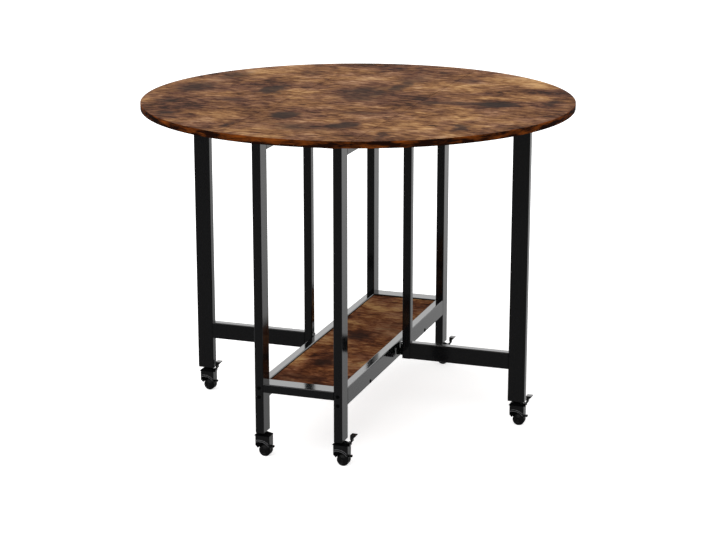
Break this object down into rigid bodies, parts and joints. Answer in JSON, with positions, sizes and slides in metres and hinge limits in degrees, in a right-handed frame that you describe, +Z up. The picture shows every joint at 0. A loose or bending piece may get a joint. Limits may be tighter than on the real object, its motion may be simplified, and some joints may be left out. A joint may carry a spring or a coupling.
{
  "type": "folding dining table",
  "caption": "Round drop-leaf dining table on casters: a narrow tube frame with a low shelf and swinging gates that carry the two leaves.",
  "frame": {"origin": "on the floor under the middle of the round top", "axes": "+Z up, X along the two opened gates, Y along the narrow centre frame"},
  "size_m": [0.9998, 0.9998, 0.75],
  "materials": {
    "rustic_wood": "satin",
    "frame_metal": "gloss",
    "hinge_steel": "satin",
    "black_plastic": "matte",
    "caster_plastic": "gloss",
    "wheel_rubber": "matte"
  },
  "bodies": {
    "table_frame": {"post_front_left": "frame_metal", "post_front_right": "frame_metal", "post_back_left": "frame_metal", "post_back_right": "frame_metal", "lower_side_rail_left": "frame_metal", "lower_side_rail_right": "frame_metal", "upper_side_rail_left": "frame_metal", "upper_side_rail_right": "frame_metal", "lower_end_rail_front": "frame_metal", "lower_end_rail_back": "frame_metal", "upper_end_rail_front": "frame_metal", "upper_end_rail_back": "frame_metal", "shelf_crossbars": "frame_metal", "shelf_board": "rustic_wood", "centre_board": "rustic_wood", "frame_foot_plugs": "black_plastic", "leaf_hinge_fixed_plates": "hinge_steel", "leaf_hinge_pins": "hinge_steel", "gate_hinge_brackets": "frame_metal", "gate_hinge_pins": "hinge_steel"},
    "leaf_left": {"leaf_left": "rustic_wood", "leaf_left_hinge_plates": "hinge_steel"},
    "gate_left": {"gate_left_pivot_post": "frame_metal", "gate_left_outer_post": "frame_metal", "gate_left_lower_bar": "frame_metal", "gate_left_upper_bar": "frame_metal", "gate_left_hinge_leaves": "frame_metal", "gate_left_top_cap": "black_plastic", "gate_left_end_plugs": "black_plastic"},
    "leaf_right": {"leaf_right": "rustic_wood", "leaf_right_hinge_plates": "hinge_steel"},
    "gate_right": {"gate_right_pivot_post": "frame_metal", "gate_right_outer_post": "frame_metal", "gate_right_lower_bar": "frame_metal", "gate_right_upper_bar": "frame_metal", "gate_right_hinge_leaves": "frame_metal", "gate_right_top_cap": "black_plastic", "gate_right_end_plugs": "black_plastic"},
    "front_left_swivel": {"caster_front_left_hood": "caster_plastic"},
    "front_left_roll": {"caster_front_left_wheels": "wheel_rubber", "caster_front_left_axle": "hinge_steel"},
    "front_right_swivel": {"caster_front_right_hood": "caster_plastic"},
    "front_right_roll": {"caster_front_right_wheels": "wheel_rubber", "caster_front_right_axle": "hinge_steel"},
    "front_right_brake": {"caster_front_right_lever": "caster_plastic"},
    "back_left_swivel": {"caster_back_left_hood": "caster_plastic"},
    "back_left_roll": {"caster_back_left_wheels": "wheel_rubber", "caster_back_left_axle": "hinge_steel"},
    "back_right_swivel": {"caster_back_right_hood": "caster_plastic"},
    "back_right_roll": {"caster_back_right_wheels": "wheel_rubber", "caster_back_right_axle": "hinge_steel"},
    "back_right_brake": {"caster_back_right_lever": "caster_plastic"},
    "gate_left_swivel": {"caster_gate_left_hood": "caster_plastic"},
    "gate_left_roll": {"caster_gate_left_wheels": "wheel_rubber", "caster_gate_left_axle": "hinge_steel"},
    "gate_left_brake": {"caster_gate_left_lever": "caster_plastic"},
    "gate_right_swivel": {"caster_gate_right_hood": "caster_plastic"},
    "gate_right_roll": {"caster_gate_right_wheels": "wheel_rubber", "caster_gate_right_axle": "hinge_steel"},
    "gate_right_brake": {"caster_gate_right_lever": "caster_plastic"}
  },
  "joints": [
    {"name": "gate_right_fold", "type": "hinge", "parent": "table_frame", "child": "gate_right", "pos_m": [0.108, 0.01, 0], "axis": [0, 0, 1], "range_deg": [0, 90]},
    {"name": "leaf_right_lift", "type": "hinge", "parent": "table_frame", "child": "leaf_right", "pos_m": [0.15, 0, 0.731], "axis": [0, -1, 0], "range_deg": [0, 2.5]},
    {"name": "gate_left_fold", "type": "hinge", "parent": "table_frame", "child": "gate_left", "pos_m": [-0.108, -0.01, 0], "axis": [0, 0, 1], "range_deg": [0, 90]},
    {"name": "leaf_left_lift", "type": "hinge", "parent": "table_frame", "child": "leaf_left", "pos_m": [-0.15, 0, 0.731], "axis": [0, 1, 0], "range_deg": [0, 2.5]},
    {"name": "caster_front_left_swivel", "type": "hinge", "parent": "table_frame", "child": "front_left_swivel", "pos_m": [-0.0925, -0.383, 0.058], "axis": [0, 0, 1], "continuous": true},
    {"name": "caster_front_left_spin", "type": "hinge", "parent": "front_left_swivel", "child": "front_left_roll", "pos_m": [-0.0855, -0.383, 0.014], "axis": [0, 1, 0], "continuous": true},
    {"name": "caster_front_right_swivel", "type": "hinge", "parent": "table_frame", "child": "front_right_swivel", "pos_m": [0.0925, -0.383, 0.058], "axis": [0, 0, 1], "continuous": true},
    {"name": "caster_front_right_spin", "type": "hinge", "parent": "front_right_swivel", "child": "front_right_roll", "pos_m": [0.0995, -0.383, 0.014], "axis": [0, 1, 0], "continuous": true},
    {"name": "caster_front_right_brake", "type": "hinge", "parent": "front_right_swivel", "child": "front_right_brake", "pos_m": [0.1115, -0.383, 0.051], "axis": [0, 1, 0], "range_deg": [0, 25]},
    {"name": "caster_back_left_swivel", "type": "hinge", "parent": "table_frame", "child": "back_left_swivel", "pos_m": [-0.0925, 0.383, 0.058], "axis": [0, 0, 1], "continuous": true},
    {"name": "caster_back_left_spin", "type": "hinge", "parent": "back_left_swivel", "child": "back_left_roll", "pos_m": [-0.0855, 0.383, 0.014], "axis": [0, 1, 0], "continuous": true},
    {"name": "caster_back_right_swivel", "type": "hinge", "parent": "table_frame", "child": "back_right_swivel", "pos_m": [0.0925, 0.383, 0.058], "axis": [0, 0, 1], "continuous": true},
    {"name": "caster_back_right_spin", "type": "hinge", "parent": "back_right_swivel", "child": "back_right_roll", "pos_m": [0.0995, 0.383, 0.014], "axis": [0, 1, 0], "continuous": true},
    {"name": "caster_back_right_brake", "type": "hinge", "parent": "back_right_swivel", "child": "back_right_brake", "pos_m": [0.1115, 0.383, 0.051], "axis": [0, 1, 0], "range_deg": [0, 25]},
    {"name": "caster_gate_left_swivel", "type": "hinge", "parent": "gate_left", "child": "gate_left_swivel", "pos_m": [-0.3925, 0, 0.058], "axis": [0, 0, 1], "continuous": true},
    {"name": "caster_gate_left_spin", "type": "hinge", "parent": "gate_left_swivel", "child": "gate_left_roll", "pos_m": [-0.3855, 0, 0.014], "axis": [0, 1, 0], "continuous": true},
    {"name": "caster_gate_left_brake", "type": "hinge", "parent": "gate_left_swivel", "child": "gate_left_brake", "pos_m": [-0.3735, 0, 0.051], "axis": [0, 1, 0], "range_deg": [0, 25]},
    {"name": "caster_gate_right_swivel", "type": "hinge", "parent": "gate_right", "child": "gate_right_swivel", "pos_m": [0.3925, 0, 0.058], "axis": [0, 0, 1], "continuous": true},
    {"name": "caster_gate_right_spin", "type": "hinge", "parent": "gate_right_swivel", "child": "gate_right_roll", "pos_m": [0.3995, 0, 0.014], "axis": [0, 1, 0], "continuous": true},
    {"name": "caster_gate_right_brake", "type": "hinge", "parent": "gate_right_swivel", "child": "gate_right_brake", "pos_m": [0.4115, 0, 0.051], "axis": [0, 1, 0], "range_deg": [0, 25]}
  ]
}
